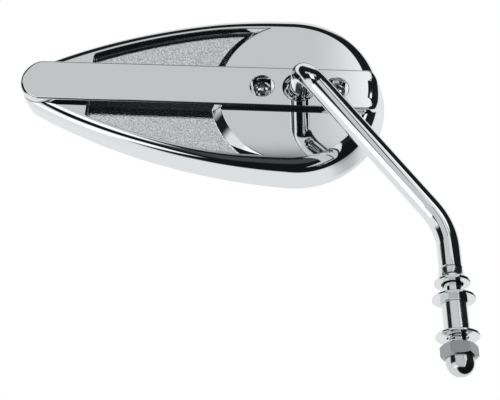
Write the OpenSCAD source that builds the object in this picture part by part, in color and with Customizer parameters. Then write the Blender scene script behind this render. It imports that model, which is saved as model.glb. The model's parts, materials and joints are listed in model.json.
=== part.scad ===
// Teardrop motorcycle mirror on a bent stem.
// The stud stands on the Z axis and the seat under the cone washer is the origin.
// The head is drawn about the centre of its ball joint: x runs along the bar to the round end,
// y across the bar and z out of the decorated back. It is then turned to its rest pose.

/* [Stem] */
// Diameter of the bent rod
rod_d = 9.5; // [8.5:0.1:9.6]
// How far the ball sits to the left of the stud
ball_left = 61; // [50:1:75]
// How far the ball sits behind the stud
ball_back = 7.5; // [0:0.5:15]
// Height of the ball above the seat
ball_up = 103; // [90:1:120]
// Length of the first leg, from the ball to the corner of the hook
hook_reach = 35.5; // [30:0.5:45]
// Bend radius of the hook, on the rod's centre line
hook_bend_r = 9.7; // [8:0.1:13]
// Height of the lower corner above the seat
elbow_up = 26.5; // [22:0.5:34]
// Bend radius of the lower corner, on the rod's centre line
elbow_bend_r = 24; // [15:1:30]
// Rounding at the rod's lower end
rod_end_round = 0.6; // [0.2:0.1:1]

/* [Rest pose] */
// Dip of the decorated back below the horizontal, in degrees
face_dip = 7.3; // [0:0.1:12]
// Droop of the round end, in degrees
bar_droop = 2; // [0:0.1:5]
// Lean of the first leg towards the lower flank, in degrees
leg_lean_down = 13.7; // [8:0.1:15]
// Lean of the first leg towards the round end, in degrees
leg_lean_side = 2.2; // [0:0.1:5]

/* [Ball joint] */
// Radius of the ball
ball_r = 7; // [6.8:0.05:7.2]
// Depth of the ball's centre under the bar's face
ball_depth = 5; // [4.8:0.1:5.2]
// Running clearance between spherical surfaces
ball_gap = 0.05; // [0.02:0.01:0.08]
// Depth of the lip that retains the ball
lip_depth = 1.8; // [1.6:0.1:2]
// Radius of the flared mouth at the bar's face
mouth_r = 7.3; // [7:0.1:7.8]
// Wall of the nylon seat
seat_wall = 1.5; // [1.2:0.1:1.8]
// Half angle that the nylon seat covers, in degrees
seat_angle = 48; // [40:1:50]
// Thickness of the dished spring under the seat
spring_t = 0.7; // [0.5:0.1:0.9]
// Half angle that the dished spring covers, in degrees
spring_angle = 34; // [25:1:38]
// Hole in the middle of the dished spring
spring_hole_d = 5; // [3:0.5:7]
// Wall of the socket under the spring
socket_wall = 1.3; // [1.2:0.05:1.5]
// Radius of the boss that holds the socket
socket_boss_r = 12.5; // [11.5:0.1:14]

/* [Head outline] */
// Overall length of the head at its widest level
head_len = 171.2; // [160:0.1:180]
// Radius of the round end
round_r = 42; // [40:0.5:44]
// Distance from the ball back to the centre of the round end
round_back = 4; // [2:0.5:5]
// Width of the head at its tip corners
tip_w = 25.2; // [24.6:0.1:27]
// Angle past the widest place where a flank begins, in degrees
flank_start = 1; // [0.5:0.5:2]
// Corner radius of the narrow tip
tip_corner_r = 11.5; // [10.5:0.1:12]

/* [Housing] */
// Depth of the disc and the rim below the bar's face
step_down = 3; // [2.5:0.1:3.5]
// Depth of the pocket floors below the bar's face
floor_down = 7; // [6.6:0.1:7.5]
// Depth of the back edge below the bar's face, at the round end
back_down = 19.7; // [19:0.1:21]
// Depth of the back edge below the bar's face, at the tip
tip_down = 16.1; // [15:0.1:17]
// Radius of the raised disc
disc_r = 38; // [35:0.5:39]
// Width of the slope round the disc
disc_slope = 4; // [2:0.5:6]
// Width of the narrow land along the rim
land_w = 1; // [0.8:0.1:1.4]
// Edge rounding along the flanks
flank_edge_r = 5; // [4:0.1:5.4]
// Edge rounding at the round end
round_edge_r = 6.5; // [5:0.1:6.8]
// How far the outer wall flares out at the round end
wall_flare = 3.5; // [2:0.1:4]
// Place along the bar where the edge rounding starts to grow
edge_grow_x = -45; // [-60:1:-30]
// Length over which the edge rounding grows
edge_grow_len = 50; // [40:1:60]
// Rounding at the back edge
back_edge_r = 0.8; // [0.4:0.1:1]
// Distance from the tip to the pockets
pocket_start = 33.2; // [30:0.1:36]
// Corner radius of the pockets
pocket_corner_r = 1.6; // [1:0.1:2]
// Thickness of the plate under the pockets
plate_t = 2.5; // [2:0.1:3]
// Thickness of the outer wall at the level of the pocket floors
wall_t = 3.4; // [3:0.1:3.8]
// Width of the bezel round the glass
bezel_w = 1.7; // [1.4:0.1:2]

/* [Clamp bar] */
// Width of the bar
bar_w = 21; // [20.6:0.1:22]
// Gap between the bar and its channel
bar_gap = 0.15; // [0.1:0.05:0.3]
// Edge rounding along the bar
bar_edge_r = 0.8; // [0.5:0.1:1]
// Corner radius at the bar's tip
bar_tip_r = 10.2; // [8:0.1:10.2]
// Edge rounding at the bar's round end
bar_round_edge_r = 6; // [5:0.1:6.3]
// Edge rounding at the bar's tip
bar_tip_edge_r = 2; // [1.5:0.1:3]
// Corner radius at the bar's round end
bar_corner_r = 6; // [6:0.1:7]

/* [Screws] */
// Distance from the ball to each clamp screw
screw_offset = 17.4; // [17:0.1:20]
// Diameter of a clamp screw's thread
screw_d = 4; // [3.5:0.1:4.5]
// Diameter of a clamp screw's head
screw_head_d = 8.2; // [7.6:0.1:8.6]
// Height of a clamp screw's head
screw_head_h = 2.8; // [2.4:0.1:3]
// Length of a clamp screw under its head
screw_len = 10.4; // [9.5:0.1:10.6]
// Diameter of the counterbore
counterbore_d = 11.3; // [11:0.1:11.6]
// Depth of the counterbore
counterbore_down = 3.6; // [3.4:0.1:3.9]
// Chamfer at the counterbore's mouth
counterbore_chamfer = 0.35; // [0.2:0.05:0.5]
// Clearance round a thread in its tapped hole
thread_gap = 0.05; // [0.02:0.01:0.1]
// Clearance round a screw in a plain hole
screw_gap = 0.2; // [0.15:0.05:0.3]
// Radius of the boss under a clamp screw
screw_boss_r = 4.6; // [4.3:0.1:5]
// Floor left under a clamp screw's tapped hole
screw_boss_floor = 0.8; // [0.5:0.1:1]
// Distance from the tip to the tip screw
tip_screw_in = 21; // [19:0.5:24]
// Diameter of the tip screw's thread
tip_screw_d = 3; // [2.5:0.1:3.5]
// Diameter of the tip screw's head
tip_screw_head_d = 5.6; // [5:0.1:6]
// Height of the tip screw's head
tip_screw_head_h = 2; // [1.6:0.1:2.4]
// How far the tip screw reaches into the bar
tip_screw_bite = 4; // [3:0.1:4.5]

/* [Mirror glass] */
// Radius of the convex glass
glass_curve_r = 1400; // [1100:50:2000]
// Thickness of the glass
glass_t = 2; // [1.8:0.1:2.2]
// Gap between the glass and the bezel
glass_gap = 0.2; // [0.1:0.05:0.4]
// How far the middle of the glass stands proud of the back edge
glass_proud = 0.4; // [0:0.1:0.8]
// How far the pad stays inside the glass's outline
pad_inset = 0.4; // [0.2:0.1:0.8]
// Depth of the ledge that carries the pad, above the back edge
ledge_up = 4.9; // [4.7:0.1:5.2]
// Seating gap between the pad and the glass
pad_gap = 0.05; // [0.02:0.01:0.1]

/* [Stud and washers] */
// Diameter of the stud's smooth neck
neck_d = 7; // [6.6:0.1:7.2]
// Diameter of the stud's thread
stud_d = 7.94; // [7.8:0.01:8]
// Height of the cone washer
cone_h = 6.3; // [5.5:0.1:7]
// Diameter of the cone washer's foot
cone_foot_d = 14.4; // [13.5:0.1:15.5]
// Diameter of the cone washer's top
cone_top_d = 10; // [9.7:0.1:10.5]
// Height of the cone washer's lip
cone_lip_h = 1; // [0.7:0.1:1.3]
// Bore of the cone washer at its foot
cone_bore_d = 8.9; // [8.4:0.1:9.4]
// Clear height between the seat and the upper washer
perch_gap = 6; // [5:0.1:7]
// Diameter of the flat washers
washer_d = 17.2; // [16:0.1:18]
// Thickness of the flat washers
washer_t = 1; // [0.8:0.1:1.6]
// Bore of the flat washers
washer_bore_d = 8.6; // [8.3:0.1:8.9]
// Edge chamfer of the flat washers
washer_chamfer = 0.2; // [0.1:0.05:0.3]
// Diameter of the lock washer
lock_d = 10.8; // [10.4:0.1:12]
// Thickness of the lock washer
lock_t = 1.8; // [1.4:0.1:2.2]
// Width of the cut through the lock washer
lock_cut = 0.8; // [0.5:0.1:1.2]
// Diameter of the spacer sleeve
sleeve_d = 10.1; // [9.9:0.1:11]
// Length of the spacer sleeve
sleeve_len = 13; // [10:0.5:16]
// Bore of the sleeve and the lock washer
sleeve_bore_d = 8.4; // [8.2:0.1:8.6]
// Clear height between the lower washer and the nut
nut_gap = 3.2; // [1:0.1:4]
// Pitch of the stud's thread
thread_pitch = 1.41; // [1.2:0.01:1.6]
// Number of turns of the thread
thread_turns = 16; // [12:1:18]
// Depth of the thread
thread_depth = 0.65; // [0.4:0.05:0.8]

/* [Acorn nut] */
// Width across the nut's flats
nut_flats = 12.7; // [12.4:0.1:13]
// Height of the nut's hexagon
nut_hex_h = 5.4; // [5:0.1:6]
// Slope of the chamfers on the nut's corners, in degrees
nut_chamfer = 30; // [20:1:35]
// Radius of the nut's dome
nut_dome_r = 5.5; // [5.2:0.1:5.8]
// Height of the straight wall under the dome
nut_wall_h = 1.4; // [1:0.1:2]
// Angle that the nut is turned on the stud, in degrees
nut_turn = 53; // [0:1:60]
// Clearance round the stud's thread
nut_gap_r = 0.03; // [0.02:0.01:0.08]
// Depth of the thread in the nut's dome
nut_bite = 8.6; // [7:0.1:9]

/* [Hidden] */
$fn = 72;
slack = 1;
overlap = 0.4;
join = 0.1;
bend_thin = 0.02;

// Colours of the finishes
chrome = [0.80, 0.82, 0.83];
steel = [0.66, 0.68, 0.70];
nylon = [0.93, 0.92, 0.88];
foam = [0.12, 0.12, 0.13];
silvered = [0.62, 0.70, 0.76];

// Levels of the head, measured from the ball's centre
face_z = ball_depth;
land_z = face_z - step_down;
floor_z = face_z - floor_down;
back_z = face_z - back_down;
ceiling_z = floor_z - plate_t;
lip_z = face_z - lip_depth;

// Radii of the nested spherical surfaces
bar_seat_r = ball_r + ball_gap;
seat_out_r = bar_seat_r + seat_wall;
spring_in_r = seat_out_r + ball_gap;
spring_out_r = spring_in_r + spring_t;
socket_r = spring_out_r + ball_gap;
bar_recess_r = seat_out_r + 3 * ball_gap;
boss_down_z = -(socket_r + socket_wall);

// Levels of the stud, measured from the seat
rod_end_z = cone_h + ball_gap;
upper_washer_z = -perch_gap - washer_t;
lock_z = upper_washer_z - lock_t;
sleeve_z = lock_z - sleeve_len;
lower_washer_z = sleeve_z - washer_t;
nut_top_z = lower_washer_z - nut_gap;
hex_z = nut_top_z - nut_hex_h;
wall_z = hex_z - nut_wall_h;
stud_end_z = nut_top_z - nut_bite;
bore_end_z = stud_end_z - slack;

// Smooth step from 0 to 1
function ease(t) = let (u = min(1, max(0, t))) u * u * (3 - 2 * u);
function mix(a, b, t) = a + (b - a) * ease(t);
function unit(v) = v / norm(v);
// Points on an arc, each with the angle of its outward normal
function arc(c, r, a0, a1, n) = [for (i = [0 : n]) let (a = a0 + (a1 - a0) * i / n)
    [c.x + r * cos(a), c.y + r * sin(a), a]];
function rest_of(list) = [for (i = [1 : len(list) - 1]) list[i]];
// The outline is symmetric, so its lower half is the upper half run backwards
function below(list) = [for (i = [len(list) - 1 : -1 : 0]) [list[i].x, -list[i].y, 360 - list[i].z]];

// Outline of the head: round end, flank, tip corner and the same again below
round_x = -round_back;
tip_x = round_x + round_r - head_len;
tip_c_x = tip_x + tip_corner_r;
tip_c_y = tip_w / 2 - tip_corner_r;
// The flank's arc touches the round end where it starts, and the tip corner's arc
flank_way = [sin(flank_start), -cos(flank_start)];
tip_way = [tip_c_x - round_x, tip_c_y];
r_step = round_r - tip_corner_r;
flank_r = round_r + (tip_way * tip_way - r_step * r_step) / (2 * (tip_way * flank_way + r_step));
flank_c = [round_x, 0] + (flank_r - round_r) * flank_way;
tip_angle = atan2(tip_c_y - flank_c.y, tip_c_x - flank_c.x);
half_outline = concat(
    arc([round_x, 0], round_r, 0, 90 + flank_start, 30),
    rest_of(arc(flank_c, flank_r, 90 + flank_start, tip_angle, 24)),
    rest_of(arc([tip_c_x, tip_c_y], tip_corner_r, tip_angle, 180, 10))
);
outline = concat(half_outline, [for (p = below(half_outline)) if (p.z < 360) p]);

// Outline of the bar, between the tip and the round end
bar_half = bar_w / 2;
bar_c_x = round_x + sqrt(pow(round_r - bar_corner_r, 2) - pow(bar_half - bar_corner_r, 2));
bar_c_angle = atan2(bar_half - bar_corner_r, bar_c_x - round_x);
half_bar = concat(
    arc([round_x, 0], round_r, 0, bar_c_angle, 4),
    rest_of(arc([bar_c_x, bar_half - bar_corner_r], bar_corner_r, bar_c_angle, 90, 12)),
    arc([tip_x + bar_tip_r, bar_half - bar_tip_r], bar_tip_r, 90, 180, 16)
);
bar_outline = concat(half_bar, [for (p = below(half_bar)) if (p.z < 360) p]);

// Edge rounding at a point of either outline
function head_edge(p) = mix(flank_edge_r, round_edge_r, (p.x - edge_grow_x) / edge_grow_len);
function bar_edge(p) = p.x > 0
    ? mix(bar_edge_r, bar_round_edge_r, (90 - min(p.z, 360 - p.z)) / (90 - bar_c_angle))
    : mix(bar_edge_r, bar_tip_edge_r, (min(p.z, 360 - p.z) - 90) / 60);
function inset(p, d, z) = [p.x - d * cos(p.z), p.y - d * sin(p.z), z];
function flat(ring) = [for (p = ring) [p.x, p.y]];
function inset_outline(d) = flat([for (p = outline) inset(p, d, 0)]);
function land_inset(p) = head_edge(p) + land_w;

// The wall flares out more and more towards the round end
round_end_x = round_x + round_r;
function flare(p) = wall_flare * pow((p.x - tip_x) / head_len, 2);
// The back edge lies in a plane that comes nearer to the face towards the tip
back_tilt = asin((back_down - tip_down) / head_len);
function back_level(x) = back_z + (round_end_x - x) * tan(back_tilt);
function on_back_edge(q, up) = [q.x, q.y, back_level(q.x) + up];
// Share of the flare that is left at the ledge, and at a height above the back edge
ledge_share = 0.5;
function wall_share(up) = 1 - (1 - ledge_share) * up / ledge_up;
// The glass is a shallow bowl about its own middle
glass_mid_x = (tip_x + round_end_x) / 2;
glass_inset = bezel_w + glass_gap;
function bowl(p) = (pow(p.x - glass_mid_x, 2) + pow(p.y, 2)) / (2 * glass_curve_r);

// Path of the rod, from the ball to the stud
function on_x(v, a) = [v.x, v.y * cos(a) - v.z * sin(a), v.y * sin(a) + v.z * cos(a)];
function on_y(v, a) = [v.x * cos(a) + v.z * sin(a), v.y, v.z * cos(a) - v.x * sin(a)];
leg_in_head = [
    sin(leg_lean_side),
    -sin(leg_lean_down) * cos(leg_lean_side),
    cos(leg_lean_down) * cos(leg_lean_side)
];
ball = [-ball_left, ball_back, ball_up];
leg_dir = on_y(on_x(leg_in_head, 90 + face_dip), bar_droop);
hook = ball + hook_reach * leg_dir;
elbow = [0, 0, elbow_up];
arm_dir = unit(elbow - hook);
hook_turn = acos(leg_dir * arm_dir);
elbow_turn = acos(arm_dir * [0, 0, -1]);
hook_cut = hook_bend_r * tan(hook_turn / 2);
elbow_cut = elbow_bend_r * tan(elbow_turn / 2);

// Surface between rings of points, closed by a flat face at each end
module loft(rings) {
    n = len(rings[0]);
    last = len(rings) - 1;
    polyhedron(
        points = [for (ring = rings) each ring],
        faces = concat(
            [[for (i = [0 : n - 1]) i]],
            [for (k = [0 : last - 1], i = [0 : n - 1])
                [k * n + i, (k + 1) * n + i, (k + 1) * n + (i + 1) % n]],
            [for (k = [0 : last - 1], i = [0 : n - 1])
                [k * n + i, (k + 1) * n + (i + 1) % n, k * n + (i + 1) % n]],
            [[for (i = [n - 1 : -1 : 0]) last * n + i]]
        )
    );
}

// Places what is drawn about the ball's centre in the rest pose
module in_head() {
    translate(ball) rotate([90 + face_dip, bar_droop, 0]) children();
}

// Turns the z axis along a direction
module along(from, dir, side) {
    x = unit(side - (side * dir) * dir);
    y = cross(dir, x);
    multmatrix([
        [x.x, y.x, dir.x, from.x],
        [x.y, y.y, dir.y, from.y],
        [x.z, y.z, dir.z, from.z]
    ]) children();
}

// A bend of the rod that begins at a point and turns from one direction to another
module rod_bend(from, dir_in, dir_out, bend_r, turn) {
    inward = unit(dir_out - (dir_out * dir_in) * dir_in);
    axis = cross(dir_in, inward);
    c = from + bend_r * inward;
    multmatrix([
        [-inward.x, dir_in.x, axis.x, c.x],
        [-inward.y, dir_in.y, axis.y, c.y],
        [-inward.z, dir_in.z, axis.z, c.z]
    ]) rotate_extrude(angle = turn) translate([bend_r, 0]) circle(d = rod_d - bend_thin);
}

module rod_straight(from, to, side) {
    dir = unit(to - from);
    along(from - join * dir, dir, side) cylinder(d = rod_d, h = norm(to - from) + 2 * join);
}

// Rod, ball and stud are one bent and turned piece
module stem() {
    hook_in = hook - hook_cut * leg_dir;
    hook_out = hook + hook_cut * arm_dir;
    elbow_in = elbow - elbow_cut * arm_dir;
    elbow_out_z = elbow.z - elbow_cut;
    rod_r = rod_d / 2;
    neck_r = neck_d / 2;
    stud_r = stud_d / 2;
    root_r = stud_r - thread_depth;
    thread = [for (k = [0 : thread_turns - 1]) let (z = stud_end_z + 0.5 + k * thread_pitch) each [
        [root_r, z], [stud_r, z + 0.35 * thread_pitch],
        [stud_r, z + 0.5 * thread_pitch], [root_r, z + 0.85 * thread_pitch]
    ]];
    thread_end_z = stud_end_z + 0.5 + thread_turns * thread_pitch;
    color(chrome) {
        translate(ball) sphere(r = ball_r);
        rod_straight(ball, hook_in, arm_dir);
        rod_bend(hook_in, leg_dir, arm_dir, hook_bend_r, hook_turn);
        rod_straight(hook_out, elbow_in, leg_dir);
        rod_bend(elbow_in, arm_dir, [0, 0, -1], elbow_bend_r, elbow_turn);
        rotate_extrude() polygon(concat(
            [[0, stud_end_z], [root_r - 0.3, stud_end_z]],
            thread,
            [
                [root_r, thread_end_z], [neck_r, thread_end_z + neck_r - root_r], [neck_r, rod_end_z],
                [rod_r - rod_end_round, rod_end_z], [rod_r, rod_end_z + rod_end_round],
                [rod_r, elbow_out_z + join], [0, elbow_out_z + join]
            ]
        ));
    }
}

module cone_washer() {
    top_r = cone_top_d / 2;
    foot_r = cone_foot_d / 2;
    bore_r = cone_bore_d / 2;
    top_bore_r = (neck_d + cone_bore_d) / 4;
    edge = 0.25;
    flare = [for (i = [0 : 8]) let (a = 90 * i / 8)
        [foot_r - (foot_r - top_r) * sin(a), cone_lip_h + (cone_h - edge - cone_lip_h) * (1 - cos(a))]];
    color(chrome) rotate_extrude() polygon(concat(
        [[bore_r, 0], [foot_r - edge, 0], [foot_r, edge]],
        flare,
        [[top_r - edge, cone_h], [top_bore_r, cone_h], [top_bore_r, cone_h / 2], [bore_r, cone_h / 4]]
    ));
}

module flat_washer() {
    r = washer_d / 2;
    c = washer_chamfer;
    rotate_extrude() polygon([
        [washer_bore_d / 2, 0], [r - c, 0], [r, c], [r, washer_t - c], [r - c, washer_t],
        [washer_bore_d / 2, washer_t]
    ]);
}

module upper_washer() {
    color(chrome) translate([0, 0, upper_washer_z]) flat_washer();
}

module lower_washer() {
    color(chrome) translate([0, 0, lower_washer_z]) flat_washer();
}

// A spring ring with a slanting cut
module lock_washer() {
    color(steel) translate([0, 0, lock_z]) difference() {
        cylinder(d = lock_d, h = lock_t);
        translate([0, 0, -slack]) cylinder(d = sleeve_bore_d, h = lock_t + 2 * slack);
        translate([lock_d / 2, 0, lock_t / 2]) rotate([30, 0, 0])
            cube([lock_d / 2, lock_cut, 3 * lock_t], center = true);
    }
}

module spacer_sleeve() {
    r = sleeve_d / 2;
    c = 0.25;
    color(chrome) translate([0, 0, sleeve_z]) rotate_extrude() polygon([
        [sleeve_bore_d / 2, 0], [r - c, 0], [r, c], [r, sleeve_len - c], [r - c, sleeve_len],
        [sleeve_bore_d / 2, sleeve_len]
    ]);
}

module acorn_nut() {
    flat_r = nut_flats / 2;
    corner_r = flat_r / cos(30);
    rim_r = corner_r + 0.1;
    shoulder_r = nut_dome_r + 0.2;
    low_chamfer_h = (rim_r - shoulder_r) * tan(nut_chamfer);
    top_chamfer_h = (rim_r - flat_r + 0.3) * tan(nut_chamfer);
    color(chrome) difference() {
        union() {
            intersection() {
                translate([0, 0, hex_z]) rotate(nut_turn) cylinder(r = corner_r, h = nut_hex_h, $fn = 6);
                rotate_extrude() polygon([
                    [0, hex_z], [shoulder_r, hex_z], [rim_r, hex_z + low_chamfer_h],
                    [rim_r, nut_top_z - top_chamfer_h], [flat_r - 0.3, nut_top_z], [0, nut_top_z]
                ]);
            }
            translate([0, 0, wall_z]) cylinder(r = nut_dome_r, h = nut_wall_h + overlap);
            translate([0, 0, wall_z]) sphere(r = nut_dome_r);
        }
        translate([0, 0, bore_end_z]) cylinder(r = stud_d / 2 + nut_gap_r, h = 40);
    }
}

// Part of a spherical shell round the -z axis
module dish(in_r, out_r, half_angle) {
    steps = 16;
    rotate_extrude() polygon(concat(
        [for (i = [0 : steps]) let (a = half_angle * i / steps) [out_r * sin(a), -out_r * cos(a)]],
        [for (i = [steps : -1 : 0]) let (a = half_angle * i / steps) [in_r * sin(a), -in_r * cos(a)]]
    ));
}

// Space inside a cone that opens downwards from the ball's centre
module down_cone(half_angle) {
    h = 20;
    translate([0, 0, -h]) cylinder(r1 = h * tan(half_angle), r2 = 0, h = h);
}

module ball_seat() {
    color(nylon) in_head() intersection() {
        difference() {
            sphere(r = seat_out_r);
            sphere(r = bar_seat_r);
        }
        down_cone(seat_angle);
    }
}

module seat_spring() {
    color(steel) in_head() intersection() {
        difference() {
            sphere(r = spring_out_r);
            sphere(r = spring_in_r);
            translate([0, 0, -socket_r - slack]) cylinder(d = spring_hole_d, h = socket_r);
        }
        down_cone(spring_angle);
    }
}

// The housing before anything is cut: rounded edge, sloping wall and back edge
module housing_blank() {
    steps = 7;
    loft(concat(
        [[for (p = outline) on_back_edge(inset(p, back_edge_r - flare(p), 0), 0)]],
        [[for (p = outline) on_back_edge(inset(p, -flare(p), 0), back_edge_r)]],
        [for (k = [steps : -1 : 0]) [for (p = outline) let (r = head_edge(p), a = 90 * k / steps)
            inset(p, r * (1 - sin(a)), land_z - r * (1 - cos(a)))]]
    ));
}

// The two textured pockets, on both sides of the bar and up to the disc
module pockets() {
    difference() {
        translate([0, 0, floor_z]) linear_extrude(step_down + floor_down)
            offset(r = pocket_corner_r) offset(delta = -pocket_corner_r)
            intersection() {
                polygon(flat([for (p = outline) inset(p, land_inset(p), 0)]));
                translate([tip_x + pocket_start, -round_r]) square([head_len, 2 * round_r]);
            }
        translate([0, 0, floor_z]) disc();
    }
}

module disc() {
    pocket_depth = land_z - floor_z;
    spread = slack * disc_slope / pocket_depth;
    translate([0, 0, -slack])
        cylinder(r1 = disc_r + disc_slope + spread, r2 = disc_r - spread, h = pocket_depth + 2 * slack);
    translate([0, -round_r, -slack]) cube([2 * round_r, 2 * round_r, pocket_depth + 2 * slack]);
    translate([0, 0, pocket_depth]) cylinder(r = disc_r, h = floor_down);
}

module bar_channel() {
    translate([0, 0, floor_z]) linear_extrude(floor_down + slack)
        polygon([for (p = bar_outline) let (q = inset(p, -bar_gap, 0)) [q.x, q.y]]);
}

// Places what is drawn on the plane of the back edge
module on_back() {
    translate([round_end_x, 0, back_z]) rotate([0, back_tilt, 0])
        translate([-round_end_x, 0, 0]) children();
}

// Outline at a height above the back plane, where the wall keeps a share of its flare
function back_ring(d, up) = [for (p = outline) inset(p, d - wall_share(up) * flare(p), up)];

module back_hollow() {
    translate([0, 0, back_z - slack]) linear_extrude(ceiling_z - back_z + slack)
        polygon(inset_outline(wall_t));
    on_back() loft([
        back_ring(bezel_w, -slack),
        back_ring(bezel_w, ledge_up)
    ]);
}

module boss(x, r, down_z) {
    translate([x, 0, down_z]) cylinder(r = r, h = ceiling_z - down_z + overlap);
}

module housing() {
    screw_tip_z = face_z - counterbore_down - screw_len;
    tapped_end_z = screw_tip_z - overlap;
    tip_screw_x = tip_x + tip_screw_in;
    color(chrome) in_head() difference() {
        union() {
            difference() {
                housing_blank();
                pockets();
                bar_channel();
                back_hollow();
            }
            boss(0, socket_boss_r, boss_down_z);
            boss(-screw_offset, screw_boss_r, tapped_end_z - screw_boss_floor);
            boss(screw_offset, screw_boss_r, tapped_end_z - screw_boss_floor);
        }
        sphere(r = socket_r);
        for (side = [-1, 1]) {
            translate([side * screw_offset, 0, tapped_end_z])
                cylinder(d = screw_d + 2 * thread_gap, h = floor_z - tapped_end_z + slack);
        }
        translate([tip_screw_x, 0, ceiling_z - slack])
            cylinder(d = tip_screw_d + 2 * screw_gap, h = plate_t + 2 * slack);
    }
}

module bar_blank() {
    steps = 6;
    loft(concat(
        [[for (p = bar_outline) inset(p, 0, floor_z)]],
        [for (k = [steps : -1 : 0]) [for (p = bar_outline) let (r = bar_edge(p), a = 90 * k / steps)
            inset(p, r * (1 - sin(a)), face_z - r * (1 - cos(a)))]]
    ));
}

module clamp_bar() {
    lip_r = sqrt(bar_seat_r * bar_seat_r - lip_z * lip_z);
    grow = (mouth_r - lip_r) / lip_depth;
    tip_screw_x = tip_x + tip_screw_in;
    color(chrome) in_head() difference() {
        bar_blank();
        intersection() {
            sphere(r = bar_seat_r);
            translate([0, 0, -slack]) cylinder(r = round_r, h = slack + lip_z);
        }
        translate([0, 0, lip_z]) cylinder(r1 = lip_r, r2 = mouth_r + slack * grow, h = lip_depth + slack);
        intersection() {
            sphere(r = bar_recess_r);
            translate([0, 0, -floor_down - slack]) cylinder(r = round_r, h = floor_down + slack);
        }
        for (side = [-1, 1]) translate([side * screw_offset, 0, 0]) {
            translate([0, 0, face_z - counterbore_down])
                cylinder(d = counterbore_d, h = counterbore_down + slack);
            translate([0, 0, face_z - counterbore_chamfer]) cylinder(
                d1 = counterbore_d, d2 = counterbore_d + 2 * (counterbore_chamfer + slack),
                h = counterbore_chamfer + slack
            );
            translate([0, 0, floor_z - slack]) cylinder(d = screw_d + 2 * screw_gap, h = floor_down);
        }
        translate([tip_screw_x, 0, floor_z - slack])
            cylinder(d = tip_screw_d + 2 * thread_gap, h = tip_screw_bite + overlap + slack);
    }
}

// Cross recess that narrows with depth
module cross_recess(width, depth) {
    wing = width * 0.26;
    intersection() {
        translate([0, 0, -depth]) cylinder(d1 = width * 0.35, d2 = width, h = depth + 0.01);
        union() {
            cube([2 * width, wing, 3 * depth], center = true);
            cube([wing, 2 * width, 3 * depth], center = true);
        }
    }
}

// Pan head screw whose head seats at z = 0 and whose thread points down
module pan_screw(thread_d, head_d, head_h, length) {
    dome_r = head_d * 0.8;
    tip = thread_d * 0.15;
    difference() {
        intersection() {
            cylinder(d = head_d, h = head_h);
            translate([0, 0, head_h - dome_r]) sphere(r = dome_r);
        }
        translate([0, 0, head_h]) rotate(8) cross_recess(head_d * 0.56, head_h * 0.75);
    }
    rotate_extrude() polygon([
        [0, overlap], [0, -length], [thread_d / 2 - tip, -length], [thread_d / 2, tip - length],
        [thread_d / 2, overlap]
    ]);
}

module clamp_screw(side) {
    translate([side * screw_offset, 0, face_z - counterbore_down])
        pan_screw(screw_d, screw_head_d, screw_head_h, screw_len);
}

module clamp_screw_left() {
    color(chrome) in_head() clamp_screw(-1);
}

module clamp_screw_right() {
    color(chrome) in_head() clamp_screw(1);
}

// Holds the narrow end of the bar from inside
module tip_screw() {
    color(steel) in_head() translate([tip_x + tip_screw_in, 0, ceiling_z]) rotate([180, 0, 0])
        pan_screw(tip_screw_d, tip_screw_head_d, tip_screw_head_h, plate_t + tip_screw_bite);
}

// Point of a ring that lies inside the wall at a height, shrunk towards the glass's middle
function shrunk(p, d, t, up) = let (q = inset(p, d - wall_share(up) * flare(p), 0))
    [glass_mid_x + (q.x - glass_mid_x) * t, q.y * t];
// Ring of a dished plate whose outer face is curved like the glass
function plate_ring(d, t, z) = [for (p = outline)
    let (q = shrunk(p, d, t, z + bowl(p))) [q.x, q.y, z + bowl(q)]];

module mirror_glass() {
    steps = 5;
    color(silvered) in_head() on_back() loft(concat(
        [for (k = [1 : steps]) plate_ring(glass_inset, k / steps, -glass_proud)],
        [for (k = [steps : -1 : 1]) plate_ring(glass_inset, k / steps, glass_t - glass_proud)]
    ));
}

// Soft pad between the ledge and the glass
module backing_pad() {
    steps = 5;
    d = glass_inset + pad_inset;
    pad_z = glass_t - glass_proud + pad_gap;
    color(foam) in_head() difference() {
        on_back() loft(concat(
            [for (k = [1 : steps]) plate_ring(d, k / steps, pad_z)],
            [[for (p = outline) let (q = shrunk(p, d, 1, ledge_up)) [q.x, q.y, ledge_up]]]
        ));
        translate([0, 0, back_z]) cylinder(r = socket_boss_r + screw_gap, h = back_down);
        for (side = [-1, 1]) {
            translate([side * screw_offset, 0, back_z])
                cylinder(r = screw_boss_r + screw_gap, h = back_down);
        }
        translate([tip_x + tip_screw_in, 0, back_z])
            cylinder(d = tip_screw_head_d + 2 * screw_gap, h = back_down);
    }
}

stem();
cone_washer();
upper_washer();
lock_washer();
spacer_sleeve();
lower_washer();
acorn_nut();
ball_seat();
seat_spring();
housing();
clamp_bar();
clamp_screw_left();
clamp_screw_right();
tip_screw();
backing_pad();
mirror_glass();
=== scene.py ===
import json
import math
import bpy
import numpy as np
from mathutils import Matrix, Vector


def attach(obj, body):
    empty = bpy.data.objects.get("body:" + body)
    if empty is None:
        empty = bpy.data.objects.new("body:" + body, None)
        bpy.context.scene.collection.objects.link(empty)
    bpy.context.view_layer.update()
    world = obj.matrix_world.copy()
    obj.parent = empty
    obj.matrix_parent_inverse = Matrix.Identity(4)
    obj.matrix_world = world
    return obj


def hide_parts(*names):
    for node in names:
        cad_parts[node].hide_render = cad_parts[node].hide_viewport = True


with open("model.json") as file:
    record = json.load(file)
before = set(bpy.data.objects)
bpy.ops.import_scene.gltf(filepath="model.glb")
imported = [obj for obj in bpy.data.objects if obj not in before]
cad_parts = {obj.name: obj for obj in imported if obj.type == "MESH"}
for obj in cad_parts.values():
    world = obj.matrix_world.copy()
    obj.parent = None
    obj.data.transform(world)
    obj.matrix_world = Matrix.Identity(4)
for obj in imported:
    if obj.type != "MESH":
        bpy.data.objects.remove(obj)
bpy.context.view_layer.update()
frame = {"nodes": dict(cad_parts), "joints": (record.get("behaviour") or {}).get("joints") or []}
nodes = frame["nodes"]
mm = 0.001
print("frame loaded with", len(nodes), "nodes")

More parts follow.
